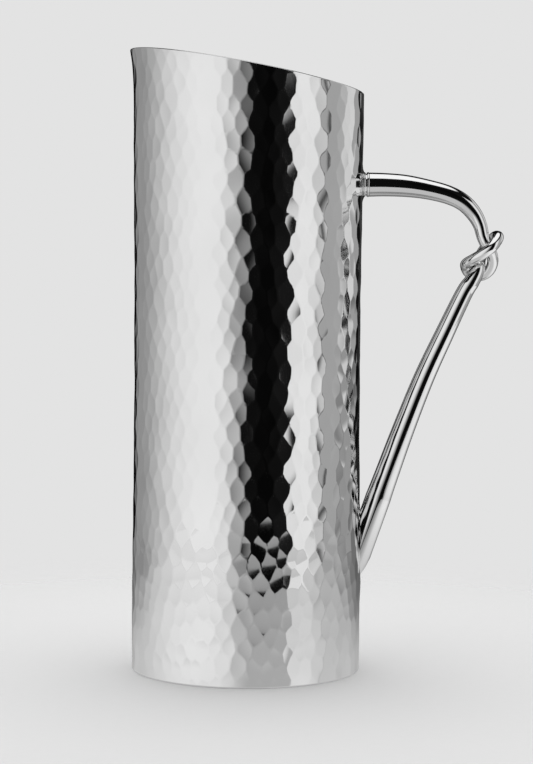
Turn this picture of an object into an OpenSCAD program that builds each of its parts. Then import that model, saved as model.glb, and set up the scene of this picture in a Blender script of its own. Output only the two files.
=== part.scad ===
// Tall water pitcher: a rolled and hammered steel cylinder with a slanted rim, a flat base
// and a handle bent from one tapered round rod that is tied in an overhand knot.
// Origin: centre of the base, on the table. +Z up, +X towards the handle, spout at -X.
// All sizes are in millimetres.

/* [Body] */
// Outer diameter of the cylindrical wall
body_d = 107; // [100:1:114]
// Height of the spout tip above the table
spout_h = 289; // [280:1:300]
// Slope of the rim, falling from the spout to the handle side
rim_slope = 10.3; // [7:0.1:12]
// Thickness of the sheet that the wall is rolled from
wall_t = 1.2; // [1.1:0.1:1.6]
// How far the lip leans outwards at the spout tip
flare_out = 1.6; // [1:0.1:2.4]
// Height of the flared band below the spout tip
flare_h = 20; // [15:1:25]

/* [Base] */
// Thickness of the base disc
base_t = 1.6; // [1.2:0.1:2.4]
// Radius of the ground corner where the wall meets the table
corner_r = 1; // [0.6:0.1:1]
// Leg of the weld bead between the base and the wall, inside
bead_leg = 1.2; // [0.8:0.1:1.6]

/* [Handle] */
// Height of the handle's upper joint above the table
joint_h = 227.5; // [224:0.5:230]
// Length of the turned boss between the wall and the rod
boss_len = 3; // [2.6:0.1:3.4]
// Diameter of the boss between its two rings
boss_d = 10.4; // [10:0.1:10.8]
// Radius of the section of each ring on the boss
ring_r = 0.6; // [0.4:0.1:0.7]
// Leg of the weld fillets where the handle meets the wall
fillet_leg = 1.2; // [0.8:0.1:1.4]

/* [Hidden] */

steel = "silver";
round_fn = 240;
rod_sides = 16;
steps_per_point = 4;
fillet_steps = 4;
flare_steps = 8;

body_r = body_d / 2;
rim_axis_h = spout_h - body_r * tan(rim_slope);
flare_start = spout_h - flare_h;
// The blank stands this much taller than the spout tip before its rim is trimmed
trim = 2;
blank_h = spout_h + trim;
// How far the boss is drawn into the wall before it is cut to the wall's curve
boss_root = 2;

// The rod's route, as [distance out from the wall, sideways, height, rod radius].
// It leaves the boss, arches over, ties the overhand knot, and runs down to the wall.
arch = [[boss_len, 0, 0, 5.7], [10.5, 0, 0, 5.5], [20, 0, -0.5, 5.2], [30, 0, -2, 4.7],
        [40, 0, -4.5, 4.4], [47, 0, -8, 4.1], [52, 0, -13, 3.8], [55, -0.5, -18.5, 3.3]];
knot = [[56.5, -0.5, -24, 3], [58.5, -0.5, -28.5, 2.8], [61, 1, -32.5, 2.7],
        [61.5, 3, -36.5, 2.6], [60, 5, -40, 2.6], [57, 6.5, -42, 2.6],
        [53.5, 7, -42, 2.6], [50.5, 6, -40.5, 2.6], [49, 3.5, -38, 2.6], [49, 0, -36.5, 2.6],
        [52, -3.5, -34.5, 2.6], [56, -5.5, -32, 2.6], [60, -6, -29, 2.6],
        [62.5, -4, -26, 2.6], [63.5, -1, -24, 2.7], [62.5, 2.5, -24, 2.7],
        [60.5, 5, -26.5, 2.8], [58, 5.5, -30, 2.9], [55.5, 4, -34.5, 3], [54.5, 1, -39.5, 3.3]];
lower_arm = [[51.5, 0, -45, 3.8], [48, 0, -50.5, 4.1], [39.5, 0, -68.5, 4.5],
             [29.5, 0, -90.5, 4.9], [20, 0, -115, 5.2], [11, 0, -139, 5.5], [8, 0, -147, 5.6]];
route = [for (p = concat(arch, knot, lower_arm)) [body_r + p[0], p[1], joint_h + p[2], p[3]]];

function unit(v) = v / norm(v);
function xyz(p) = [p[0], p[1], p[2]];

// Catmull-Rom curve through four neighbouring points, t from 0 to 1 between b and c
function spline(a, b, c, d, t) =
    (2 * b + (c - a) * t + (2 * a - 5 * b + 4 * c - d) * t * t
     + (3 * b - a - 3 * c + d) * t * t * t) / 2;

last = len(route) - 1;
axis = [for (i = [0:last - 1], k = [0:steps_per_point - 1])
            spline(route[max(i - 1, 0)], route[i], route[i + 1], route[min(i + 2, last)],
                   k / steps_per_point),
        route[last]];
end = len(axis) - 1;

// Direction of the rod at ring i, and a point at angle a on a ring of radius r there
function along(i) = unit(xyz(axis[min(i + 1, end)]) - xyz(axis[max(i - 1, 0)]));
function rim_point(c, dir, r, a) =
    let (u = unit(cross(dir, [0, 1, 0])), v = cross(dir, u)) c + r * (cos(a) * u + sin(a) * v);

// Where the line from p along dir first meets the outer face of the wall
function on_wall(p, dir) =
    let (a = dir[0] * dir[0] + dir[1] * dir[1],
         b = p[0] * dir[0] + p[1] * dir[1],
         c = p[0] * p[0] + p[1] * p[1] - body_r * body_r)
    p + dir * (-b - sqrt(b * b - a * c)) / a;

foot_dir = along(end);
foot_at = xyz(axis[end]);
foot_r = axis[end][3];

// A tube through rings of points, capped at both ends with fans about two centres
module ringed_tube(rings, first_centre, last_centre) {
    n = len(rings[0]);
    m = len(rings);
    points = concat([for (ring = rings, p = ring) p], [first_centre, last_centre]);
    sides = [for (i = [0:m - 2], k = [0:n - 1])
                let (a = i * n + k, b = i * n + (k + 1) % n)
                each [[a, b, b + n], [a, b + n, a + n]]];
    caps = [for (k = [0:n - 1])
                each [[m * n, (k + 1) % n, k],
                      [m * n + 1, (m - 1) * n + k, (m - 1) * n + (k + 1) % n]]];
    polyhedron(points, concat(sides, caps));
}

// Section of a weld fillet in a square corner: the corner, then a concave arc
function fillet_section(leg) =
    concat([[0, 0]], [for (k = [0:fillet_steps]) let (t = 90 * k / fillet_steps)
                         [leg * (1 - sin(t)), leg * (1 - cos(t))]]);

// A closed ring of weld metal where a bar of radius r, centred on c and running along dir,
// meets the wall
module wall_fillet(c, dir, r, leg) {
    n = 2 * rod_sides;
    section = fillet_section(leg);
    m = len(section);
    points = [for (i = [0:n - 1], s = section)
                 on_wall(rim_point(c, dir, r + s[0], 360 * i / n), dir) - s[1] * dir];
    faces = [for (i = [0:n - 1], k = [0:m - 1])
                let (a = i * m + k, b = i * m + (k + 1) % m,
                     d = ((i + 1) % n) * m + k, e = ((i + 1) % n) * m + (k + 1) % m)
                each [[a, d, e], [a, e, b]]];
    polyhedron(points, faces);
}

// Edge of the flared band, offset inwards by inset: it leans out with height, and the
// slanted rim cuts it away everywhere but around the spout
function lean(z) = flare_out * pow((z - flare_start) / flare_h, 2);
function flared_edge(inset) =
    [for (k = [0:flare_steps]) let (z = flare_start + (blank_h - flare_start) * k / flare_steps)
        [body_r - inset + lean(z), z]];

module body_wall() {
    inner_edge = flared_edge(wall_t);
    color(steel)
    difference() {
        rotate_extrude($fn = round_fn) {
            polygon(concat([[body_r - wall_t, 0], [body_r - corner_r, 0], [body_r, corner_r]],
                           flared_edge(0),
                           [for (k = [flare_steps:-1:0]) inner_edge[k]]));
            translate([body_r - corner_r, corner_r])
                intersection() {
                    circle(corner_r, $fn = 48);
                    translate([0, -corner_r]) square(corner_r);
                }
        }
        translate([0, 0, rim_axis_h])
            rotate([0, rim_slope, 0])
                translate([-body_d, -body_d, 0])
                    cube([2 * body_d, 2 * body_d, body_d]);
    }
}

module base_disc() {
    color(steel)
    cylinder(h = base_t, r = body_r - wall_t, $fn = round_fn);
}

module base_weld() {
    color("darkgray")
    rotate_extrude($fn = round_fn)
        translate([body_r - wall_t, base_t])
            mirror([1, 0]) polygon(fillet_section(bead_leg));
}

// A short turned boss with a ring at each end; its root is cut to the curve of the wall
module upper_boss() {
    color(steel)
    difference() {
        translate([body_r, 0, joint_h])
            rotate([0, 90, 0])
                rotate_extrude($fn = 96) {
                    translate([0, -boss_root]) square([boss_d / 2, boss_root + boss_len]);
                    for (z = [ring_r, boss_len - ring_r])
                        translate([boss_d / 2, z]) circle(ring_r, $fn = 32);
                }
        cylinder(h = spout_h, r = body_r, $fn = round_fn);
    }
}

module upper_weld() {
    color("darkgray")
    wall_fillet([body_r + boss_len, 0, joint_h], [-1, 0, 0], boss_d / 2 + ring_r, fillet_leg);
}

module handle_rod() {
    angles = [for (k = [0:rod_sides - 1]) 360 * k / rod_sides];
    rings = [for (i = [0:end]) [for (a = angles)
                rim_point(xyz(axis[i]), along(i), axis[i][3], a)]];
    foot = [for (p = rings[end]) on_wall(p, foot_dir)];
    color(steel)
    ringed_tube(concat(rings, [foot]), xyz(axis[0]), on_wall(foot_at, foot_dir));
}

module lower_weld() {
    color("darkgray")
    wall_fillet(foot_at, foot_dir, foot_r, fillet_leg);
}

body_wall();
base_disc();
base_weld();
upper_boss();
upper_weld();
handle_rod();
lower_weld();
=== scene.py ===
"""Looks of the hammered water pitcher: a hand-hammered wall, a knotted handle rod, the turned
boss and the welds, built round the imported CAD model, with a soft studio round it.

The object's lengths are in millimetres and become metres in new_piece(). The floor and the
camera are in metres. +Z is up, the handle is at +X, the spout at -X, and the camera looks
along +Y.
"""

import math
import random

import bpy
import numpy as np
from mathutils import Matrix, Vector


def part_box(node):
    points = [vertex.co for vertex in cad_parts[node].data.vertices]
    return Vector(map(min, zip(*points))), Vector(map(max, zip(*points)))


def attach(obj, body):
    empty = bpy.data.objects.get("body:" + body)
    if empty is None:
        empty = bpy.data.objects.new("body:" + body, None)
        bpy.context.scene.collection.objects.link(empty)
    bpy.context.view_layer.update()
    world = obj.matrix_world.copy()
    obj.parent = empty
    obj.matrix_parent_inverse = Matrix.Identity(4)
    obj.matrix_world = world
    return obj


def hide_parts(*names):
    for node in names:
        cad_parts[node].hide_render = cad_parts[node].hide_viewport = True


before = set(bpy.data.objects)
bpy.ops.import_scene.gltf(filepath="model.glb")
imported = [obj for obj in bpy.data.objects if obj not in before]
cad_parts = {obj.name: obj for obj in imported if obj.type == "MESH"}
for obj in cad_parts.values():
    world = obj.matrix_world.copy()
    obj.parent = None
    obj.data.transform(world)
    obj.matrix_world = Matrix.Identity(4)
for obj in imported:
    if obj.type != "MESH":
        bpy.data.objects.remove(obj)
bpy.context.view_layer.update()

MM = 0.001
TURN = 2 * math.pi


def node_box(name):
    """Lowest and highest corner of a CAD node, in millimetres."""
    lo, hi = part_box(name)
    return np.array(lo) / MM, np.array(hi) / MM


# --- Sizes of the body, from the CAD boxes where they hold them -------------------------------

WALL_T = 1.2
CORNER_R = 0.6
RIM_SLOPE = math.radians(10.3)
FLARE_OUT, FLARE_H = 1.6, 20.0

_, disc_hi = node_box("base_disc")
wall_lo, wall_hi = node_box("body_wall")
BODY_R = disc_hi[1] + WALL_T
BASE_T = disc_hi[2]
RIM_AXIS_H = wall_hi[2] + wall_lo[0] * math.tan(RIM_SLOPE)
SPOUT_H = RIM_AXIS_H + BODY_R * math.tan(RIM_SLOPE)
FLARE_START = SPOUT_H - FLARE_H
# The real wall is a little fuller than the CAD cylinder, and draws in at half its height.
WAIST = 0.8
FULLNESS = 0.2
# Height of the rim's rounding, and how far outside BODY_R the rim is cut
RIM_ROUND = 0.45
RIM_OUT = 0.4

boss_lo, boss_hi = node_box("upper_boss")
JOINT_H = (boss_lo[2] + boss_hi[2]) / 2
BOSS_LEN = boss_hi[0] - BODY_R
foot_lo, foot_hi = node_box("lower_weld")
FOOT_H = (foot_lo[2] + foot_hi[2]) / 2


def smooth(x, low, high):
    t = np.clip((x - low) / (high - low), 0, 1)
    return t * t * (3 - 2 * t)


def wall_profile(z):
    """Outer radius of the wall before hammering, and its slope with height."""
    s = np.clip(z / SPOUT_H, 0, 1)
    up = np.clip((z - FLARE_START) / FLARE_H, 0, None)
    r = BODY_R + FULLNESS - WAIST * np.sin(math.pi * s) ** 2 + FLARE_OUT * up**2
    slope = -WAIST * math.pi / SPOUT_H * np.sin(TURN * s) + 2 * FLARE_OUT * up / FLARE_H
    return r, slope


def rim_height(theta):
    """Height where the rim's rounding starts, at angle theta round the body from the handle."""
    return RIM_AXIS_H - RIM_ROUND - math.tan(RIM_SLOPE) * (BODY_R + RIM_OUT) * np.cos(theta)


# --- The hammered pattern ---------------------------------------------------------------------
# Each blow leaves a shallow dish, f = depth - bend * offset^2, and the deepest dish wins. The
# cells of that pattern are worked out in (u, v): u is arc length, v is height over rim height.

ROUND = TURN * BODY_R
TOP_V = RIM_AXIS_H
LOW_V = CORNER_R
COLUMNS = 54
PITCH_U = ROUND / COLUMNS
PITCH_V = 8.1
ROWS = int(TOP_V / PITCH_V) + 4
DEPTH = 0.115
BEND_U, BEND_V = 0.0115, 0.0037
# Labels of the edges that lie on the wall's foot and rim
BOTTOM, TOP = -1, -2

# How the blows differ. Shifts are in pitches, lean is in degrees, the others are shares.
SHIFT_U, SHIFT_V = 0.16, 0.18
DEEPER = (0.78, 1.22)
TIGHTER = (0.84, 1.3)
SHORTER = (0.88, 1.15)
LEAN = 12
# Slow drifts of the rows and columns: (size in pitches, phase per row, waves round the body)
SWAY = [(0.16, 0.55, 5), (0.12, 0.23, -9)]
RISE = [(0.22, 0.4, 7), (0.14, -0.9, 13)]

rng = random.Random(11)


class Blow:
    """One blow: where it fell, how deep, its bends along and across, and its lean."""

    __slots__ = ("u", "v", "depth", "au", "av", "cos", "sin")


def drift(waves, row, turned):
    return sum(size * math.sin(phase * row + times * turned) for size, phase, times in waves)


def new_blow(c, r):
    """The blow of column c and row r: rows are half-staggered, and every blow is a little off."""
    blow = Blow()
    turned = TURN * c / COLUMNS
    blow.u = (c + 0.5 * (r % 2) + drift(SWAY, r, turned) + rng.uniform(-SHIFT_U, SHIFT_U)) * PITCH_U
    blow.v = (r - 1 + drift(RISE, r, turned) + rng.uniform(-SHIFT_V, SHIFT_V)) * PITCH_V
    blow.depth = DEPTH * rng.uniform(*DEEPER)
    grip = rng.uniform(*TIGHTER)
    blow.au = BEND_U * grip
    blow.av = BEND_V * grip * rng.uniform(*SHORTER)
    lean = math.radians(rng.uniform(-LEAN, LEAN))
    blow.cos, blow.sin = math.cos(lean), math.sin(lean)
    return blow


blows = [new_blow(c, r) for c in range(COLUMNS) for r in range(ROWS)]
# The same blows as arrays, one for each property
field = {name: np.array([getattr(blow, name) for blow in blows]) for name in Blow.__slots__}


def wrap(du):
    """An arc length as the short way round the body."""
    return du - ROUND * np.round(du / ROUND)


def dishes(ids, u, v):
    """Depth of the blows ids at (u, v), and its slopes with u and v."""
    du, dv = wrap(u - field["u"][ids]), v - field["v"][ids]
    cos, sin = field["cos"][ids], field["sin"][ids]
    p, q = cos * du + sin * dv, -sin * du + cos * dv
    f = field["depth"][ids] - field["au"][ids] * p * p - field["av"][ids] * q * q
    gp, gq = -2 * field["au"][ids] * p, -2 * field["av"][ids] * q
    return f, cos * gp - sin * gq, sin * gp + cos * gq


# In these scales a usual dish is round, and this is how deep it is at half a pitch.
SCALE_U, SCALE_V = math.sqrt(BEND_U), math.sqrt(BEND_V)
USUAL = (0.5 * PITCH_U * SCALE_U) ** 2


def weight(blow):
    """How far a blow pushes its outline out, were all bends equal."""
    return blow.depth - (blow.au / BEND_U - 1) * USUAL


def cut(poly, nx, ny, limit, label):
    """The part of a convex polygon where nx * x + ny * y <= limit; the new edge gets label."""
    out = []
    for k, (ax, ay, la) in enumerate(poly):
        bx, by, _ = poly[(k + 1) % len(poly)]
        da, db = nx * ax + ny * ay - limit, nx * bx + ny * by - limit
        if da <= 0:
            out.append((ax, ay, la))
        if (da <= 0) != (db <= 0):
            t = da / (da - db)
            out.append((ax + t * (bx - ax), ay + t * (by - ay), label if da <= 0 else la))
    return out


def cell_of(c, r):
    """The polygon that blow (c, r) wins, as [(u, v, label of the edge that starts there)], were
    all bends equal: it is cut where the dishes look round."""
    me = blows[c * ROWS + r]
    x0, y0 = me.u * SCALE_U, me.v * SCALE_V
    reach = 3 * PITCH_U * SCALE_U
    poly = [(x0 - reach, y0 - reach, None), (x0 + reach, y0 - reach, None),
            (x0 + reach, y0 + reach, None), (x0 - reach, y0 + reach, None)]
    for dc in range(-2, 3):
        for dr in range(-3, 4):
            if (dc == 0 and dr == 0) or not 0 <= r + dr < ROWS:
                continue
            j = ((c + dc) % COLUMNS) * ROWS + r + dr
            other = blows[j]
            x1, y1 = x0 + wrap(other.u - me.u) * SCALE_U, other.v * SCALE_V
            limit = (x1 * x1 + y1 * y1 - x0 * x0 - y0 * y0 + weight(me) - weight(other)) / 2
            poly = cut(poly, x1 - x0, y1 - y0, limit, j)
            if not poly:
                return []
    poly = cut(poly, 0, -1, -LOW_V * SCALE_V, BOTTOM)
    poly = cut(poly, 0, 1, TOP_V * SCALE_V, TOP)
    if len(poly) < 3 or any(label is None for _, _, label in poly):
        return []
    return [(x / SCALE_U, y / SCALE_V, label) for x, y, label in poly]


# Every corner and edge is shared by its cells, so each is made once. A corner is known by the
# three cells or labels that meet there.
cells, outlines = [], []
corner_of, cut_at, corner_cells = {}, [], []
for c in range(COLUMNS):
    for r in range(ROWS):
        poly = cell_of(c, r)
        if not poly:
            continue
        i = c * ROWS + r
        walk = []
        for k, (u, v, label) in enumerate(poly):
            key = tuple(sorted((i, poly[k - 1][2], label)))
            if key not in corner_of:
                corner_of[key] = len(cut_at)
                cut_at.append((u, v))
                corner_cells.append(key)
            walk.append((corner_of[key], label))
        cells.append(i)
        outlines.append(walk)
cut_at, corner_cells = np.array(cut_at), np.array(corner_cells)

# A loop is a cell's outline: [(corner, edge, whether the edge runs forward, cell beyond it)].
edge_of, ends, edge_cells, loops = {}, [], [], []
for i, walk in zip(cells, outlines):
    loop = []
    for k, (a, j) in enumerate(walk):
        b = walk[(k + 1) % len(walk)][0]
        key = (min(i, j), max(i, j), min(a, b), max(a, b))
        if key not in edge_of:
            edge_of[key] = len(ends)
            ends.append((min(a, b), max(a, b)))
            edge_cells.append((i, j))
        loop.append((a, edge_of[key], a < b, j))
    loops.append(loop)
ends, edge_cells = np.array(ends), np.array(edge_cells)

# Longest move of a corner in one step and in all, and of an edge's points as a share of its length
ONE_MOVE, MOST_MOVED, MOST_ASIDE = 0.6, 1.4, 0.25
CORNER_TRIES, EDGE_TRIES, MENDS = 8, 5, 8


def settled_corners():
    """The corners, moved to where their dishes are equally deep; on an edge of the wall the
    height is held."""
    at = cut_at.copy()
    inner = corner_cells[:, 0] >= 0
    for _ in range(CORNER_TRIES):
        f0, f1, f2 = (dishes(np.maximum(corner_cells[:, k], 0), at[:, 0], at[:, 1])
                      for k in range(3))
        e, a, b = (x - y for x, y in zip(f1, f2))
        g, p, q = (x - y for x, y in zip(f0, f2))
        det = a * q - b * p
        det = np.where(np.abs(det) < 1e-9, np.inf, det)
        across = np.where(np.abs(a) < 1e-6, np.inf, a)
        du = np.where(inner, (g * b - e * q) / det, -e / across)
        dv = np.where(inner, (e * p - g * a) / det, 0)
        at += np.clip(np.stack([du, dv], axis=1), -ONE_MOVE, ONE_MOVE)
    far = np.hypot(*(at - cut_at).T) > MOST_MOVED
    at[far] = cut_at[far]
    return at


# The points of edge e, between its corners, are numbered from first_on[e].
STEP = 1.9
run = cut_at[ends[:, 1]] - cut_at[ends[:, 0]]
pieces = np.maximum(1, np.round(np.hypot(wrap(run[:, 0]), run[:, 1]) / STEP)).astype(int)
first_on = len(cut_at) + np.concatenate([[0], np.cumsum(pieces - 1)])
on_edge = np.repeat(np.arange(len(ends)), pieces - 1)
share_on = np.concatenate([np.arange(1, count) / count for count in pieces])[:, None]


def points_on(e):
    return list(range(first_on[e], first_on[e] + pieces[e] - 1))


def edge_points(corners, straight):
    """The points between the corners of every edge, moved sideways to where the dishes on its
    two sides are equally deep, but for the straight edges."""
    start = corners[ends[:, 0]]
    along = corners[ends[:, 1]] - start
    along[:, 0] = wrap(along[:, 0])
    length = np.maximum(np.hypot(along[:, 0], along[:, 1]), 1e-6)[on_edge]
    base = start[on_edge] + along[on_edge] * share_on
    aside = np.stack([-along[on_edge, 1], along[on_edge, 0]], axis=1) / length[:, None]
    one, two = edge_cells[on_edge, 0], edge_cells[on_edge, 1]
    moved = np.zeros(len(base))
    for _ in range(EDGE_TRIES):
        at = base + aside * moved[:, None]
        e, a, b = (x - y for x, y in zip(dishes(one, at[:, 0], at[:, 1]),
                                         dishes(np.maximum(two, 0), at[:, 0], at[:, 1])))
        slope = a * aside[:, 0] + b * aside[:, 1]
        moved -= e / np.where(np.abs(slope) < 1e-6, np.inf, slope)
        moved = np.clip(moved, -MOST_ASIDE * length, MOST_ASIDE * length)
    moved = np.where((two >= 0) & ~straight[on_edge], moved, 0)
    return base + aside * moved[:, None]


rings = []
for loop in loops:
    ring = []
    for corner, e, forward, _ in loop:
        between = points_on(e)
        ring += [corner] + (between if forward else between[::-1])
    rings.append(ring)


def seen_from_middle(i, ring, at):
    """The middle of cell i, its outline about the middle, and whether the middle sees all of
    it."""
    u = wrap(at[ring, 0] - field["u"][i])
    v = at[ring, 1]
    cu, cv = u.mean(), v.mean()
    x, y = u - cu, v - cv
    turning = x * np.roll(y, -1) - y * np.roll(x, -1)
    return cu + field["u"][i], cv, x, y, bool((turning > 1e-4).all())


# A cell whose middle doesn't see its whole outline goes back to straight edges.
corner_at = settled_corners()
straight = np.zeros(len(ends), bool)
for _ in range(MENDS):
    outline_uv = np.vstack([corner_at, edge_points(corner_at, straight)])
    hidden = [k for k, (i, ring) in enumerate(zip(cells, rings))
              if not seen_from_middle(i, ring, outline_uv)[4]]
    if not hidden:
        break
    for k in hidden:
        for corner, e, _, _ in loops[k]:
            corner_at[corner] = cut_at[corner]
            straight[e] = True

# Each cell is filled with rings round its middle: a narrow ridge first, wider at the corners so
# that the dish inside it is oval.
RIDGE = 0.65
ROUNDING = 0.92
WIDEST_RIDGE, HALFWAY = 0.55, 0.7

uv_parts, triangles, owners = [outline_uv], [], []
cells_at = [[j for j in key if j >= 0] for key in corner_cells.tolist()]
cells_at += [[j for j in edge_cells[e].tolist() if j >= 0] for e in on_edge]
bottom_loop, top_loop = [], []
next_point = len(outline_uv)
for i, ring, loop in zip(cells, rings, loops):
    count = len(ring)
    cu, cv, x, y, _ = seen_from_middle(i, ring, outline_uv)
    oval = np.hypot(x * SCALE_U, y * SCALE_V)
    ridge = np.maximum(RIDGE / np.hypot(x, y), 1 - ROUNDING * oval.mean() / oval)
    filling = [ring]
    for t in (np.minimum(ridge, WIDEST_RIDGE), HALFWAY):
        uv_parts.append(np.stack([cu + x * (1 - t), cv + y * (1 - t)], axis=1))
        filling.append(list(range(next_point, next_point + count)))
        next_point += count
    uv_parts.append(np.array([[cu, cv]]))
    middle = next_point
    next_point += 1
    cells_at += [[i]] * (2 * count + 1)
    for outer, inner in zip(filling, filling[1:]):
        for k in range(count):
            m = (k + 1) % count
            triangles += [(outer[k], outer[m], inner[m]), (outer[k], inner[m], inner[k])]
    triangles += [(filling[-1][k], filling[-1][(k + 1) % count], middle) for k in range(count)]
    owners += [i] * (5 * count)
    for (a, e, _, beyond), (b, _, _, _) in zip(loop, loop[1:] + loop[:1]):
        if beyond in (BOTTOM, TOP):
            edge_loop = bottom_loop if beyond == BOTTOM else top_loop
            edge_loop.extend([a] + points_on(e) + [b])

uv = np.vstack(uv_parts)
tri = np.array(triangles)

# The hammering is weak at the foot, and full from FOOT_FADE up. It is gone where the joints were
# ground: each pair is how far from a joint it starts and is full.
FOOT_FADE, FOOT_SHARE = 10.0, 0.3
UPPER_GROUND = (6.5, 12.5)
LOWER_GROUND, LOWER_SQUASH = (5.5, 11.0), 0.55


def strength(u, v):
    """Share of the hammering's depth at (u, v)."""
    foot = FOOT_SHARE + (1 - FOOT_SHARE) * smooth(v, 0.0, FOOT_FADE)
    du = wrap(u)
    upper = np.hypot(du, v - JOINT_H)
    lower = np.hypot(du, (v - FOOT_H) * LOWER_SQUASH)
    return foot * (smooth(upper, *UPPER_GROUND) * smooth(lower, *LOWER_GROUND))


# Slow swells of the sheet: (waves round the body, length along the height, phase)
SWELL = 0.026
SWELLS = [(rng.randint(3, 11), rng.uniform(20, 60) * rng.choice((-1, 1)), rng.uniform(0, TURN))
          for _ in range(9)]


def swell(u, v):
    """The sheet's slow unevenness, and its slopes with u and v."""
    w = wu = wv = 0.0
    for waves, length, phase in SWELLS:
        at = waves * u / BODY_R + TURN * v / length + phase
        w = w + SWELL * np.sin(at)
        wu = wu + SWELL * waves / BODY_R * np.cos(at)
        wv = wv + SWELL * TURN / length * np.cos(at)
    return w, wu, wv


def ringed(r, at, z):
    """Points at radius r, angle at and height z."""
    return np.stack([r * np.cos(at), r * np.sin(at), z], axis=-1)


def place(u, v, f):
    """The points of the outer face at (u, v), f deep."""
    theta = u / BODY_R
    z = v * rim_height(theta) / TOP_V
    return ringed(wall_profile(z)[0] - f - swell(u, v)[0], theta, z)


def normals(u, v, fu, fv):
    """The outer face's normals at (u, v), where its depth has the slopes fu and fv."""
    theta = u / BODY_R
    top = rim_height(theta)
    r, slope = wall_profile(v * top / TOP_V)
    s = strength(u, v)
    _, wu, wv = swell(u, v)
    rz = slope - (s * fv + wv) * TOP_V / top
    rt = -(s * fu + wu) * BODY_R
    n = np.stack([np.cos(theta) + rt / r * np.sin(theta),
                  np.sin(theta) - rt / r * np.cos(theta), -rz], axis=-1)
    return n / np.linalg.norm(n, axis=-1, keepdims=True)


# Where cells meet the sheet is a little worn, and a dish never rises above the sheet by more
# than PROUD.
WORN, PROUD = 0.006, 0.05

count_at = np.array([len(ids) for ids in cells_at])
shared = count_at > 1
depth = np.zeros(len(uv))
for k in range(3):
    kth = np.array([ids[min(k, len(ids) - 1)] for ids in cells_at])
    depth += np.where(k < count_at, dishes(kth, uv[:, 0], uv[:, 1])[0], 0)
depth = np.maximum(depth / count_at, -PROUD) * strength(uv[:, 0], uv[:, 1])
depth += np.where(shared, WORN, 0)
outer_xyz = place(uv[:, 0], uv[:, 1], depth)

# A corner of a triangle takes its own dish's normal, or the mean one on a shared point.
point_of = tri.reshape(-1)
_, fu, fv = dishes(np.repeat(owners, 3), uv[point_of, 0], uv[point_of, 1])
own_normals = normals(uv[point_of, 0], uv[point_of, 1], fu, fv)
mean_normals = np.zeros((len(uv), 3))
np.add.at(mean_normals, point_of, own_normals)
mean_normals /= np.linalg.norm(mean_normals, axis=1, keepdims=True)
outer_normals = np.where(shared[point_of][:, None], mean_normals[point_of], own_normals)


# --- Meshes -----------------------------------------------------------------------------------


def in_order(loop):
    """The points of a closed edge once each, by angle, and their angles."""
    theta = (uv[loop, 0] / BODY_R) % TURN
    _, keep = np.unique(np.asarray(loop), return_index=True)
    order = keep[np.argsort(theta[keep])]
    return [loop[k] for k in order], theta[order]


def zip_loops(a, at_a, b, at_b):
    """Triangles between two closed loops, each given as indices and rising angles."""
    faces, i, j = [], 0, 0
    na, nb = len(a), len(b)
    while i < na or j < nb:
        next_a = at_a[(i + 1) % na] + (TURN if i + 1 >= na else 0) if i < na else math.inf
        next_b = at_b[(j + 1) % nb] + (TURN if j + 1 >= nb else 0) if j < nb else math.inf
        if next_a <= next_b:
            faces.append((a[i % na], a[(i + 1) % na], b[j % nb]))
            i += 1
        else:
            faces.append((a[i % na], b[(j + 1) % nb], b[j % nb]))
            j += 1
    return faces


def ring_strip(a, b):
    """Quads between two rings of the same length."""
    n = len(a)
    return [(a[k], a[(k + 1) % n], b[(k + 1) % n], b[k]) for k in range(n)]


def closed_tube(n, m):
    """Quads of a closed ring of n sections, each a closed loop of m points."""
    faces = []
    for i in range(n):
        here, there = i * m, ((i + 1) % n) * m
        for k in range(m):
            after = (k + 1) % m
            faces.append((here + k, here + after, there + after, there + k))
    return faces


def add_points(verts, points):
    """Adds points to verts and gives their numbers."""
    start = len(verts)
    verts.extend(points)
    return list(range(start, len(verts)))


def cap(ids, verts, faces, flip):
    """Closes a ring with a fan about its middle."""
    verts.append(np.mean([verts[k] for k in ids], axis=0))
    middle = len(verts) - 1
    for a, b in zip(ids, ids[1:] + ids[:1]):
        faces.append((b, a, middle) if flip else (a, b, middle))


def unit(v):
    return v / np.linalg.norm(v)


def new_piece(name, verts, faces, material, sharp=None):
    """A smooth-shaded mesh object from points in millimetres, riding on the root body. Edges
    sharper than sharp, in degrees, stay hard."""
    mesh = bpy.data.meshes.new(name)
    mesh.from_pydata((np.asarray(verts, float) * MM).tolist(), [], faces)
    mesh.polygons.foreach_set("use_smooth", [True] * len(mesh.polygons))
    if sharp is not None:
        mesh.set_sharp_from_angle(angle=math.radians(sharp))
    mesh.materials.append(material)
    mesh.update()
    piece = bpy.data.objects.new(name, mesh)
    bpy.context.scene.collection.objects.link(piece)
    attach(piece, "root")
    return piece


# --- Materials --------------------------------------------------------------------------------


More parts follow.
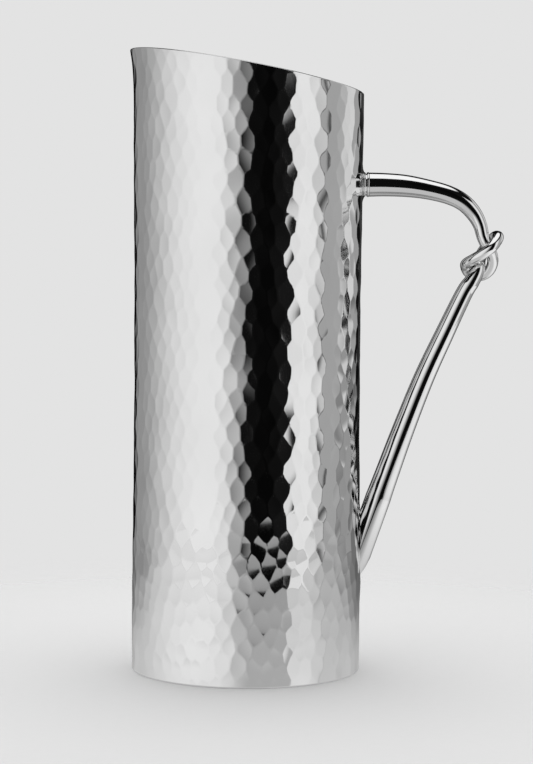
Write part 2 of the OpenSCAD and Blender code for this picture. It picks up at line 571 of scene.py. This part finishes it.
class Nodes:
    """Small helper to write a node tree in few lines."""

    def __init__(self, tree):
        self.tree = tree

    def feed(self, socket, value):
        if isinstance(value, bpy.types.NodeSocket):
            self.tree.links.new(value, socket)
        else:
            socket.default_value = value

    def add(self, kind, inputs=(), **settings):
        node = self.tree.nodes.new(kind)
        for key, value in settings.items():
            setattr(node, key, value)
        for key, value in dict(inputs).items():
            self.feed(node.inputs[key], value)
        return node

    def math(self, operation, a, b=0.0):
        return self.add("ShaderNodeMath", {0: a, 1: b}, operation=operation).outputs[0]

    def span(self, value, low, high, to_low=0.0, to_high=1.0, kind="LINEAR"):
        return self.add("ShaderNodeMapRange", {0: value, 1: low, 2: high, 3: to_low, 4: to_high},
                        interpolation_type=kind, clamp=True).outputs[0]

    def mix(self, share, a, b):
        return self.add("ShaderNodeMix", {0: share, 2: a, 3: b}, data_type="FLOAT").outputs[0]

    def noise(self, at, scale, detail, **inputs):
        inputs = {"Vector": at, "Scale": scale, "Detail": detail, **inputs}
        return self.add("ShaderNodeTexNoise", inputs).outputs[0]

    def grey(self, value):
        return self.add("ShaderNodeCombineColor", {0: value, 1: value, 2: value}).outputs[0]


# Scales of the patches of tone and of the smears, to the metre, and how far the tone varies
PATCHES, SMEARS = 26.0, 70.0
TONE_SPREAD = 0.02


def metal(name, tone, rough, grain, grain_depth):
    """Bare steel: its tone, roughness from rough[0] to rough[1], and fine marks of the polish,
    grain = (x, y, z) marks to the metre and grain_depth in metres."""
    mat = bpy.data.materials.new(name)
    mat.use_nodes = True
    n = Nodes(mat.node_tree)
    shader = mat.node_tree.nodes["Principled BSDF"]
    at = n.add("ShaderNodeTexCoord").outputs["Object"]
    patches = n.noise(at, PATCHES, 2.0)
    value = n.span(patches, 0.3, 0.7, tone - TONE_SPREAD, tone + TONE_SPREAD)
    stretched = n.add("ShaderNodeMapping", {"Vector": at, "Scale": grain}).outputs[0]
    marks = n.noise(stretched, 1.0, 4.0, Roughness=0.6)
    smears = n.noise(at, SMEARS, 3.0)
    both = n.math("ADD", n.math("MULTIPLY", marks, 0.45), n.math("MULTIPLY", smears, 0.55))
    bump = n.add("ShaderNodeBump", {"Height": marks, "Strength": 1.0, "Distance": grain_depth})
    n.feed(shader.inputs["Metallic"], 1.0)
    n.feed(shader.inputs["Base Color"], n.grey(value))
    n.feed(shader.inputs["Roughness"], n.span(both, 0.35, 0.65, *rough))
    n.feed(shader.inputs["Normal"], bump.outputs[0])
    return mat


STEEL = 0.76
hammered = metal("hammered_steel", STEEL, (0.035, 0.075), (900, 900, 260), 6e-7)
polished = metal("polished_steel", STEEL, (0.035, 0.07), (700, 700, 700), 5e-7)
welded = metal("weld_steel", STEEL - 0.20, (0.10, 0.20), (520, 520, 520), 2e-6)
satin = metal("satin_steel", STEEL - 0.05, (0.16, 0.28), (1500, 60, 60), 3e-6)


# --- Body wall --------------------------------------------------------------------------------
# The hammered outer face, the rounded rim, the ground lower corner and the inner face are one
# skin. The inner face shows the blows faintly, as low soft bumps.

RIM_STEPS, CORNER_STEPS = 6, 5
IN_COLUMNS, IN_ROWS = 150, 88
IN_BELOW_RIM = 1.0
IN_SHARE = 0.45
IN_FADE = (2, 6)
ABOVE_BASE = 1

wall_verts = outer_xyz.tolist()
wall_faces = [tuple(t) for t in tri]


def round_over(ids, at, steps, turn, across, up, flip):
    """Rounds the closed edge ids inwards through turn, with rings of radius across and height
    up, and gives its last ring."""
    start = outer_xyz[ids]
    r = np.hypot(start[:, 0], start[:, 1])
    for k in range(1, steps + 1):
        t = turn * k / steps
        points = ringed(r - across * (1 - math.cos(t)), at, start[:, 2] + up * math.sin(t))
        ring = add_points(wall_verts, points.tolist())
        wall_faces.extend(ring_strip(ring, ids) if flip else ring_strip(ids, ring))
        ids = ring
    return ids


def soft_depth(u, v):
    """The pattern's depth at any (u, v), from the blows around it."""
    best = np.full(np.shape(u), -1.0)
    for dr in (-1, 0, 1):
        row = np.clip(np.round(v / PITCH_V).astype(int) + 1 + dr, 0, ROWS - 1)
        col = np.round(u / PITCH_U - 0.5 * (row % 2)).astype(int)
        for dc in (-1, 0, 1):
            best = np.maximum(best, dishes((col + dc) % COLUMNS * ROWS + row, u, v)[0])
    return best


def inner_ring(v, at):
    """The points of the inner face at height v of the pattern; it is plain by the base."""
    u, v = at * BODY_R, np.full(len(at), v)
    z = v * rim_height(at) / TOP_V
    bump = IN_SHARE * soft_depth(u, v) * strength(u, v) * smooth(v, *IN_FADE)
    r = wall_profile(z)[0] - WALL_T - bump
    return ringed(np.where(z < BASE_T + ABOVE_BASE, BODY_R - WALL_T, r), at, z)


top_ids, top_at = in_order(top_loop)
low_ids, low_at = in_order(bottom_loop)
rim_in = round_over(top_ids, top_at, RIM_STEPS, math.pi, WALL_T / 2, RIM_ROUND, False)
foot_ring = round_over(low_ids, low_at, CORNER_STEPS, math.pi / 2, CORNER_R,
                       -outer_xyz[low_ids, 2], True)
in_at = np.linspace(0, TURN, IN_COLUMNS, endpoint=False)
in_rings = []
for k in range(IN_ROWS + 1):
    points = inner_ring(k / IN_ROWS * (TOP_V - IN_BELOW_RIM), in_at)
    in_rings.append(add_points(wall_verts, points.tolist()))
wall_faces += zip_loops(rim_in, top_at, in_rings[-1], in_at)
for low, high in zip(in_rings, in_rings[1:]):
    wall_faces += ring_strip(high, low)
wall_faces += zip_loops(in_rings[0], in_at, foot_ring, low_at)

wall = new_piece("body_wall_hammered", wall_verts, wall_faces, hammered)
wall_normals = np.empty(len(wall.data.loops) * 3, np.float32)
wall.data.corner_normals.foreach_get("vector", wall_normals)
wall_normals = wall_normals.reshape(-1, 3)
wall_normals[:len(outer_normals)] = outer_normals
wall.data.normals_split_custom_set(wall_normals.tolist())
wall.data.update()
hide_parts("body_wall")


# --- Base -------------------------------------------------------------------------------------

DISC_R = BODY_R - WALL_T
DISC_SIDES = 160
# The underside is hollowed by DISC_HOLLOW, DISC_FALL less at its edge, where the disc stands on
# a narrow foot. Both faces show faint turning marks and the upper one dips a little.
DISC_HOLLOW, DISC_FALL, DISC_STEPS = 0.35, 0.3, 26
EDGE_ROUND, UPPER_DIP = 0.3, 0.02
MARKS_UNDER, MARKS_INSIDE = 0.02, 0.004


def revolved(profile, sides):
    """A solid of revolution; profile is [(r, z)] from the axis out and back to the axis."""
    at = np.linspace(0, TURN, sides, endpoint=False)
    verts, faces, rings = [], [], []
    for r, z in profile:
        if r <= 0:
            rings.append(add_points(verts, [(0, 0, z)]) * sides)
        else:
            rings.append(add_points(verts, [(r * math.cos(a), r * math.sin(a), z) for a in at]))
    for low, high in zip(rings, rings[1:]):
        for quad in ring_strip(low, high):
            face = tuple(dict.fromkeys(quad))
            if len(face) > 2:
                faces.append(face)
    return verts, faces


def disc_profile():
    """The base disc's underside, its foot and rounded edge, and its upper face."""
    out = [(0, DISC_HOLLOW)]
    for k in range(1, DISC_STEPS - 2):
        share = k / DISC_STEPS
        mark = MARKS_UNDER * math.sin(k * 2.1)
        out.append((DISC_R * share, DISC_HOLLOW - DISC_FALL * share**2 + mark))
    out += [(DISC_R - 3.2, 0.04), (DISC_R - 2.4, 0.0), (DISC_R - 0.5, 0.0),
            (DISC_R - 0.25, 0.07), (DISC_R - 0.02, EDGE_ROUND), (DISC_R - 0.02, BASE_T)]
    upper_steps = DISC_STEPS - 2
    for k in range(upper_steps, -1, -1):
        share = k / upper_steps
        mark = MARKS_INSIDE * math.sin(k * 1.7)
        out.append(((DISC_R - EDGE_ROUND) * share, BASE_T - UPPER_DIP * (1 - share) + mark))
    return out


disc = new_piece("base_disc_turned", *revolved(disc_profile(), DISC_SIDES), satin, sharp=40)
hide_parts("base_disc")

BEAD_LEG = 1.2
BEAD_STEPS, BEAD_SIDES = 6, 360
# How deep the bead's root and its face bite into the wall and the base, and its ripples:
# (share, times round)
BEAD_ROOT, BEAD_BITE = 0.1, 0.05
BEAD_RIPPLES = [(0.07, 97), (0.05, 13)]


def bead_points():
    """The bead inside, where the base meets the wall: a concave fillet with slow ripples."""
    draw = random.Random(4)
    ripples = [(size, times, draw.uniform(0, 6.28)) for size, times in BEAD_RIPPLES]
    verts = []
    for a in np.arange(BEAD_SIDES) * TURN / BEAD_SIDES:
        leg = BEAD_LEG * (1 + sum(size * math.sin(times * a + p) for size, times, p in ripples))
        section = [(DISC_R + BEAD_ROOT, BASE_T - BEAD_ROOT)]
        for t in np.linspace(0, math.pi / 2, BEAD_STEPS):
            section.append((DISC_R + BEAD_BITE - leg * (1 - math.sin(t)),
                            BASE_T - BEAD_BITE + leg * (1 - math.cos(t))))
        verts += [(r * math.cos(a), r * math.sin(a), z) for r, z in section]
    return verts


bead = new_piece("base_weld_bead", bead_points(), closed_tube(BEAD_SIDES, BEAD_STEPS + 1), welded,
                 sharp=60)
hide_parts("base_weld")


# --- Handle -----------------------------------------------------------------------------------
# The rod's route, as [out from the wall, sideways, height from the joint, rod radius].

ROUTE = [
    [BOSS_LEN, 0, 0, 5.7], [10.5, 0, 0, 5.5], [20, 0, -0.5, 5.2], [30, 0, -2, 4.7],
    [40, 0, -4.5, 4.4], [47, 0, -8, 4.1], [52, 0, -13, 3.8], [55, -0.5, -18.5, 3.3],
    [56.5, -0.5, -24, 3], [58.5, -0.5, -28.5, 2.8], [61, 1, -32.5, 2.7], [61.5, 3, -36.5, 2.6],
    [60, 5, -40, 2.6], [57, 6.5, -42, 2.6], [53.5, 7, -42, 2.6], [50.5, 6, -40.5, 2.6],
    [49, 3.5, -38, 2.6], [49, 0, -36.5, 2.6], [52, -3.5, -34.5, 2.6], [56, -5.5, -32, 2.6],
    [60, -6, -29, 2.6], [62.5, -4, -26, 2.6], [63.5, -1, -24, 2.7], [62.5, 2.5, -24, 2.7],
    [60.5, 5, -26.5, 2.8], [58, 5.5, -30, 2.9], [55.5, 4, -34.5, 3], [54.5, 1, -39.5, 3.3],
    [51.5, 0, -45, 3.8], [48, 0, -50.5, 4.1], [39.5, 0, -68.5, 4.5], [29.5, 0, -90.5, 4.9],
    [20, 0, -115, 5.3], [11.4, 0, -139, 5.8], [8.6, 0, -147, 6.1],
]
ROD_SIDES, ROD_STEPS, FOOT_RINGS = 40, 10, 8
# How far the rod and the welds reach into the wall
ROOT = 0.5
# How much thinner the rod is where it is worn and where it is out of round, as shares
WORN_ROD, OVAL_ROD = 0.006, 0.004
# The slope ground at the foot's tip: its height at the wall, its steepness, how soft its edge is,
# and how many of the rod's last rings it can touch
TIP_H, TIP_SLOPE, TIP_SOFT, TIP_RINGS = JOINT_H - 183.2, 1.35, 0.18, 20


def spline(pts, steps):
    """Catmull-Rom curve through pts, with its ends repeated."""
    out = []
    last = len(pts) - 1
    for i in range(last):
        a, b = pts[max(i - 1, 0)], pts[i]
        c, d = pts[i + 1], pts[min(i + 2, last)]
        for k in range(steps):
            t = k / steps
            out.append((2 * b + (c - a) * t + (2 * a - 5 * b + 4 * c - d) * t * t
                        + (3 * b - a - 3 * c + d) * t**3) / 2)
    out.append(pts[last])
    return np.array(out)


def carried_frames(tangent, start):
    """Two directions across the rod at each point, carried along it without twist."""
    u = unit(np.cross(tangent[0], start))
    out = []
    for t in tangent:
        u = unit(u - t * np.dot(u, t))
        out.append((u, np.cross(t, u)))
    return out


def on_wall(p, d, r):
    """Where the line from p along d first meets a cylinder of radius r about the body's axis."""
    a = d[0] ** 2 + d[1] ** 2
    b = p[0] * d[0] + p[1] * d[1]
    c = p[0] ** 2 + p[1] ** 2 - r * r
    return p + d * (-b - math.sqrt(max(b * b - a * c, 0))) / a


def ground(p):
    """Keeps a point above the short slope that was ground at the foot of the joint."""
    slope_z = TIP_H + TIP_SLOPE * (p[0] - BODY_R)
    gap = (p[2] - slope_z) / TIP_SOFT
    over = TIP_SOFT * math.log1p(math.exp(gap)) if gap < 30 else p[2] - slope_z
    return np.array([p[0], p[1], slope_z + over])


line = spline(np.array([[BODY_R + x, y, JOINT_H + z, r] for x, y, z, r in ROUTE]), ROD_STEPS)
centre, radius = line[:, :3], line[:, 3]
tangent = np.gradient(centre, axis=0)
tangent[-1] = centre[-1] - centre[-2]
tangent /= np.linalg.norm(tangent, axis=1, keepdims=True)
foot_dir = tangent[-1]
run_to = np.concatenate([[0], np.cumsum(np.linalg.norm(np.diff(centre, axis=0), axis=1))])

draw = random.Random(7)
wear = [(draw.uniform(0.12, 0.5), draw.uniform(0, 6.28), draw.randint(0, 2)) for _ in range(5)]
frames = carried_frames(tangent, np.array([0, 1.0, 0]))
rod_verts, rod_faces, rod_rings = [], [], []
for c, r, at, (u, v) in zip(centre, radius, run_to, frames):
    worn = sum(math.sin(at * w + p) for w, p, _ in wear) / len(wear)
    ring = []
    for a in np.linspace(0, TURN, ROD_SIDES, endpoint=False):
        oval = sum(math.cos(h * a + w * at + p) for w, p, h in wear) / len(wear)
        here = r * (1 - WORN_ROD * (1 + worn) - OVAL_ROD * (1 + oval))
        ring.append(c + here * (math.cos(a) * u + math.sin(a) * v))
    rod_rings.append(add_points(rod_verts, ring))
last_ring = np.array(ring)
foot_r = wall_profile(FOOT_H)[0] - ROOT
foot_xyz = np.array([on_wall(p, foot_dir, foot_r) for p in last_ring])
for k in range(1, FOOT_RINGS + 1):
    points = last_ring + (foot_xyz - last_ring) * k / FOOT_RINGS
    rod_rings.append(add_points(rod_verts, list(points)))
first_low = rod_rings[-TIP_RINGS][0]
rod_verts[first_low:] = [ground(p) for p in rod_verts[first_low:]]
for low, high in zip(rod_rings, rod_rings[1:]):
    rod_faces += ring_strip(low, high)
cap(rod_rings[0], rod_verts, rod_faces, True)
cap(rod_rings[-1], rod_verts, rod_faces, False)
rod = new_piece("handle_rod_polished", rod_verts, rod_faces, polished, sharp=50)
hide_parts("handle_rod")


# --- Boss and welds at the wall ---------------------------------------------------------------

BOSS_R, RING_R = 5.2, 0.6
BOSS_ROOT, BOSS_SIDES, RING_STEPS = 0.9, 64, 8
GROOVE_W, GROOVE_DEPTH = 0.5, 0.12


def boss_profile():
    """[(distance out from the wall, radius)] with two rings and a groove between them."""
    out = [(-BOSS_ROOT, BOSS_R)]
    for middle in (RING_R + 0.1, BOSS_LEN - RING_R):
        for k in range(RING_STEPS + 1):
            t = math.pi * k / RING_STEPS
            out.append((middle - RING_R * math.cos(t), BOSS_R + RING_R * math.sin(t) ** 0.8))
        if middle < BOSS_LEN / 2:
            out += [(BOSS_LEN / 2 + side * GROOVE_W, BOSS_R - GROOVE_DEPTH)
                    for side in (-0.5, 0.5)]
    return out


boss_verts, boss_faces, boss_rings = [], [], []
for x, r in boss_profile():
    ring = [np.array([BODY_R + x, r * math.cos(a), JOINT_H + r * math.sin(a)])
            for a in np.linspace(0, TURN, BOSS_SIDES, endpoint=False)]
    boss_rings.append(add_points(boss_verts, ring))
for low, high in zip(boss_rings, boss_rings[1:]):
    boss_faces += ring_strip(low, high)
cap(boss_rings[0], boss_verts, boss_faces, True)
cap(boss_rings[-1], boss_verts, boss_faces, False)
boss = new_piece("upper_boss_turned", boss_verts, boss_faces, polished, sharp=60)
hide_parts("upper_boss")

WELD_SIDES, WELD_STEPS = 72, 10
# How far a weld bites into its bar, stands proud of its leg and sinks its thin edge into the
# wall, how hollow its section is, and its ripples: (share, times round)
WELD_BITE, WELD_PROUD, WELD_SUNK, WELD_HOLLOW = 0.35, 0.1, 0.1, 2.6
# How far the weld's lower face slopes into the wall towards its thin edge
WELD_IN = 0.05
WELD_RIPPLES = [(0.10, 3), (0.06, 7)]


def wall_weld(name, node, c, direction, r, leg, reach, seed, material):
    """A weld fillet on the wall round a bar of radius r, which runs from c along direction: it
    climbs the bar by leg and thins out over reach, with the slight ripple of hand work."""
    u = unit(np.cross(direction, [0, 1.0, 0]))
    v = np.cross(direction, u)
    draw = random.Random(seed)
    ripples = [(size, times, draw.uniform(0, 6.28)) for size, times in WELD_RIPPLES]
    verts = []
    for i in range(WELD_SIDES):
        a = TURN * i / WELD_SIDES
        aside = math.cos(a) * u + math.sin(a) * v
        ripple = 1 + sum(size * math.sin(times * a + p) for size, times, p in ripples)
        section = []
        for t in np.linspace(0, 1, WELD_STEPS):
            p = c + (r - WELD_BITE + (reach * ripple + WELD_BITE) * t) * aside
            q = on_wall(p, direction, BODY_R)
            q = on_wall(p, direction, wall_profile(q[2])[0] - WELD_IN * t)
            outwards = unit(q * [1, 1, 0])
            height = (leg * ripple + WELD_PROUD) * (1 - t) ** WELD_HOLLOW
            section.append(q + height * (-direction * (1 - t) + outwards * t))
        root_r = wall_profile(section[0][2])[0] - ROOT
        root = on_wall(c + (r - WELD_BITE) * aside, direction, root_r)
        section[-1] = section[-1] - WELD_SUNK * unit(section[-1] * [1, 1, 0])
        verts += section + [root]
    weld = new_piece(name, verts, closed_tube(WELD_SIDES, WELD_STEPS + 1), material, sharp=55)
    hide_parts(node)


wall_weld("upper_weld_fillet", "upper_weld", np.array([BODY_R + BOSS_LEN, 0, JOINT_H]),
          np.array([-1.0, 0, 0]), r=BOSS_R + RING_R * 0.6, leg=1.1, reach=4.6, seed=3,
          material=welded)
wall_weld("lower_weld_fillet", "lower_weld", centre[-1], foot_dir, r=radius[-1], leg=1.3,
          reach=3.2, seed=8, material=polished)


# --- Studio -----------------------------------------------------------------------------------
# Panels round the pitcher, as (azimuth in degrees from the camera's side towards the handle,
# brightness). Between two panels the light changes evenly, and a close pair is a hard edge.

PANELS_LEFT = [
    (-180, 0.002), (-157, 0.003), (-154, 0.15), (-150, 0.27), (-144, 0.34), (-132, 0.33),
    (-118, 0.42), (-105, 0.55), (-92, 0.70), (-80, 0.83), (-66, 0.94), (-50, 1.0), (-33, 1.0),
    (-27, 0.94), (-22, 0.86), (-17, 0.72), (-13, 0.50), (-8, 0.38), (-4, 0.26), (-1, 0.10),
    (1, 0.006), (20, 0.002), (33, 0.008), (43.0, 0.012), (43.8, 0.88), (50, 0.92), (58, 0.99),
]
PANELS_RIGHT = [
    (58.0, 0.99), (66, 0.96), (73, 0.76), (80.0, 0.62), (80.3, 0.03), (81.6, 0.04), (81.9, 0.44),
    (100, 0.45), (108, 0.52), (112, 0.74), (129, 0.80), (131.5, 0.42), (145, 0.38), (146, 0.006),
    (153, 0.006), (158, 0.05), (170, 0.03), (180, 0.006),
]
# The panel behind the handle starts between these azimuths and is dimmer below the horizon.
DIM_FROM, DIM_BELOW, DIMMED = (103, 108), (-0.035, -0.055), 0.48
# Elevations where the panels end and where the ceiling begins, and the dark between them
PANELS_END, CEILING_FROM = (38, 41), (57, 62)
DARK, CEILING = 0.006, 1.2
# One soft dome lights the matte floor, a little stronger from behind.
DOME, DOME_TILT = 0.96, 0.7
BACKDROP = 0.768


def round_turn(deg):
    """An azimuth as a share of the turn, from the back round by the left."""
    return (deg + 180) / 360


def sines(elevations):
    return [math.sin(math.radians(deg)) for deg in elevations]


def ramp(nodes, stops, at):
    """A colour ramp through the stops, read at a share of the turn."""
    node = nodes.add("ShaderNodeValToRGB", {0: at})
    elements = node.color_ramp.elements
    while len(elements) < len(stops):
        elements.new(1.0)
    for element, (deg, level) in zip(elements, stops):
        element.position = round_turn(deg)
        element.color = (level, level, level, 1)
    return node.outputs[0]


def studio():
    """The world: panels and a ceiling for the metal, a dome for the floor, and an even pale
    backdrop for the camera."""
    world = bpy.data.worlds.new("studio")
    bpy.context.scene.world = world
    world.use_nodes = True
    world.node_tree.nodes.clear()
    n = Nodes(world.node_tree)
    direction = n.add("ShaderNodeTexCoord").outputs["Generated"]
    x, y, height = n.add("ShaderNodeSeparateXYZ", {0: direction}).outputs
    azimuth = n.math("ARCTAN2", x, n.math("MULTIPLY", y, -1.0))
    at = n.math("ADD", n.math("DIVIDE", azimuth, TURN), 0.5)
    right = ramp(n, PANELS_RIGHT, at)
    behind = n.span(at, *(round_turn(deg) for deg in DIM_FROM))
    dim = n.math("MULTIPLY", behind, n.span(height, *DIM_BELOW))
    right = n.math("MULTIPLY", right, n.mix(dim, 1.0, DIMMED))
    on_right = n.math("GREATER_THAN", at, round_turn(PANELS_RIGHT[0][0]))
    panels = n.mix(on_right, ramp(n, PANELS_LEFT, at), right)
    above = n.span(height, *sines(PANELS_END), kind="SMOOTHSTEP")
    overhead = n.span(height, *sines(CEILING_FROM), kind="SMOOTHSTEP")
    shiny = n.mix(overhead, n.mix(above, panels, DARK), CEILING)
    soft = n.span(y, -1.0, 1.0, (1 - DOME_TILT) * DOME, (1 + DOME_TILT) * DOME)
    path = n.add("ShaderNodeLightPath")
    lit = n.mix(path.outputs["Is Diffuse Ray"], shiny, soft)
    seen = n.mix(path.outputs["Is Camera Ray"], lit, BACKDROP)
    background = n.add("ShaderNodeBackground", {"Color": n.grey(seen), "Strength": 1.0})
    n.add("ShaderNodeOutputWorld", {0: background.outputs[0]})


studio()

# The floor is a pale disc, in metres. The camera sees it matte, and it fades into the backdrop.
# The metal sees a painted glow with painted shade on it, and through it at a glancing angle, a
# painted sheen.
FLOOR_R, FLOOR_BELOW = 0.50, 0.0002
FLOOR_RINGS, FLOOR_SIDES = 6, 96
FLOOR_TONE, FLOOR_GRAIN = 0.86, 0.004
FADE = (0.09, 0.40)
GLANCING = (0.62, 0.80)


def floor_disc():
    """The floor's points and faces: a fan, and rings round it."""
    verts = [(0, 0, -FLOOR_BELOW)]
    around = np.linspace(0, TURN, FLOOR_SIDES, endpoint=False)
    rings = []
    for k in range(1, FLOOR_RINGS + 1):
        r = FLOOR_R * k / FLOOR_RINGS
        ring = [(r * math.cos(a), r * math.sin(a), -FLOOR_BELOW) for a in around]
        rings.append(add_points(verts, ring))
    faces = [(0, a, b) for a, b in zip(rings[0], rings[0][1:] + rings[0][:1])]
    for inner, outer in zip(rings, rings[1:]):
        faces += ring_strip(outer, inner)
    return verts, faces


def pale_floor():
    """The floor's material: matte for the camera, a painted glow and painted sheen for the metal.
    """
    mat = bpy.data.materials.new("pale_floor")
    mat.use_nodes = True
    mat.node_tree.nodes.clear()
    n = Nodes(mat.node_tree)
    where = n.add("ShaderNodeTexCoord").outputs["Object"]
    out_from = n.add("ShaderNodeVectorMath", {0: where}, operation="LENGTH").outputs["Value"]
    x, y, _ = n.add("ShaderNodeSeparateXYZ", {0: where}).outputs
    grain = n.noise(where, 240.0, 2.0)
    tone = n.span(grain, 0.3, 0.7, FLOOR_TONE - FLOOR_GRAIN, FLOOR_TONE + FLOOR_GRAIN)
    matte = n.add("ShaderNodeBsdfDiffuse", {"Color": n.grey(tone)})

    # What the metal sees is a painted glow, not lit: painted shade straight down, painted light
    # towards the handle's side, painted shade behind.
    steep = n.add("ShaderNodeLayerWeight", {"Blend": 0.5}).outputs["Facing"]
    glancing = n.span(steep, *GLANCING)
    painted_light_to_side = n.span(x, 0.10, 0.26, 0.64, 1.05, kind="SMOOTHSTEP")
    painted_light_and_shade_below = n.mix(n.span(steep, 0.01, 0.05), 0.25, painted_light_to_side)
    # Painted shade: far dims the glow away from the pitcher, behind dims it behind the pitcher, and
    # level is the painted glow's brightness.
    far = n.span(out_from, 0.08, FLOOR_R, 0.50, 0.34)
    behind = n.span(y, 0.0, 0.25, 1.0, 0.35, kind="SMOOTHSTEP")
    level = n.math("MULTIPLY", n.mix(glancing, painted_light_and_shade_below, far), behind)
    # Painted sheen: at a glancing angle the floor lets the metal see the studio through it, a
    # painted reflection.
    sheen = n.math("MULTIPLY", glancing, n.span(x, -0.1, 0.1, 0.54, 0.34))
    painted_glow = n.add("ShaderNodeEmission", {"Color": n.grey(level), "Strength": 1.0})
    through = n.add("ShaderNodeBsdfTransparent", {"Color": n.grey(sheen)})
    painted_glow_and_sheen = n.add("ShaderNodeAddShader", {0: painted_glow.outputs[0], 1: through.outputs[0]})

    glossy_ray = n.add("ShaderNodeLightPath").outputs["Is Glossy Ray"]
    surface = n.add("ShaderNodeMixShader",
                    {0: glossy_ray, 1: matte.outputs[0], 2: painted_glow_and_sheen.outputs[0]})
    fade = n.mix(glossy_ray, n.span(out_from, *FADE, kind="SMOOTHSTEP"),
                 n.span(out_from, FLOOR_R - 0.01, FLOOR_R))
    clear = n.add("ShaderNodeBsdfTransparent")
    faded = n.add("ShaderNodeMixShader", {0: fade, 1: surface.outputs[0], 2: clear.outputs[0]})
    n.add("ShaderNodeOutputMaterial", {0: faded.outputs[0]})
    return mat


floor_verts, floor_faces = floor_disc()
floor_mesh = bpy.data.meshes.new("floor")
floor_mesh.from_pydata(floor_verts, [], floor_faces)
floor_mesh.materials.append(pale_floor())
floor = bpy.data.objects.new("floor", floor_mesh)
bpy.context.scene.collection.objects.link(floor)

# --- Camera -----------------------------------------------------------------------------------

YAW, PITCH, ROLL = math.radians(0.51), math.radians(3.11), math.radians(0.38)
CAMERA_AT = (0.0002, -1.0, 0.1891)
SENSOR, LENS = 36.0, 100.46

forward = Vector((math.sin(YAW) * math.cos(PITCH), math.cos(YAW) * math.cos(PITCH),
                  -math.sin(PITCH)))
level_right = Vector((math.cos(YAW), -math.sin(YAW), 0))
level_up = level_right.cross(forward)
right = level_right * math.cos(ROLL) + level_up * math.sin(ROLL)
up = level_up * math.cos(ROLL) - level_right * math.sin(ROLL)
cam_data = bpy.data.cameras.new("camera")
cam_data.sensor_width = SENSOR
cam_data.sensor_fit = "AUTO"
cam_data.lens = LENS
cam_data.clip_start, cam_data.clip_end = 0.05, 20
cam = bpy.data.objects.new("camera", cam_data)
bpy.context.scene.collection.objects.link(cam)
aim = Matrix((right, up, -forward)).transposed().to_4x4()
cam.matrix_world = Matrix.Translation(CAMERA_AT) @ aim
bpy.context.scene.camera = cam

view = bpy.context.scene.view_settings
view.view_transform = "Standard"
view.look = "None"
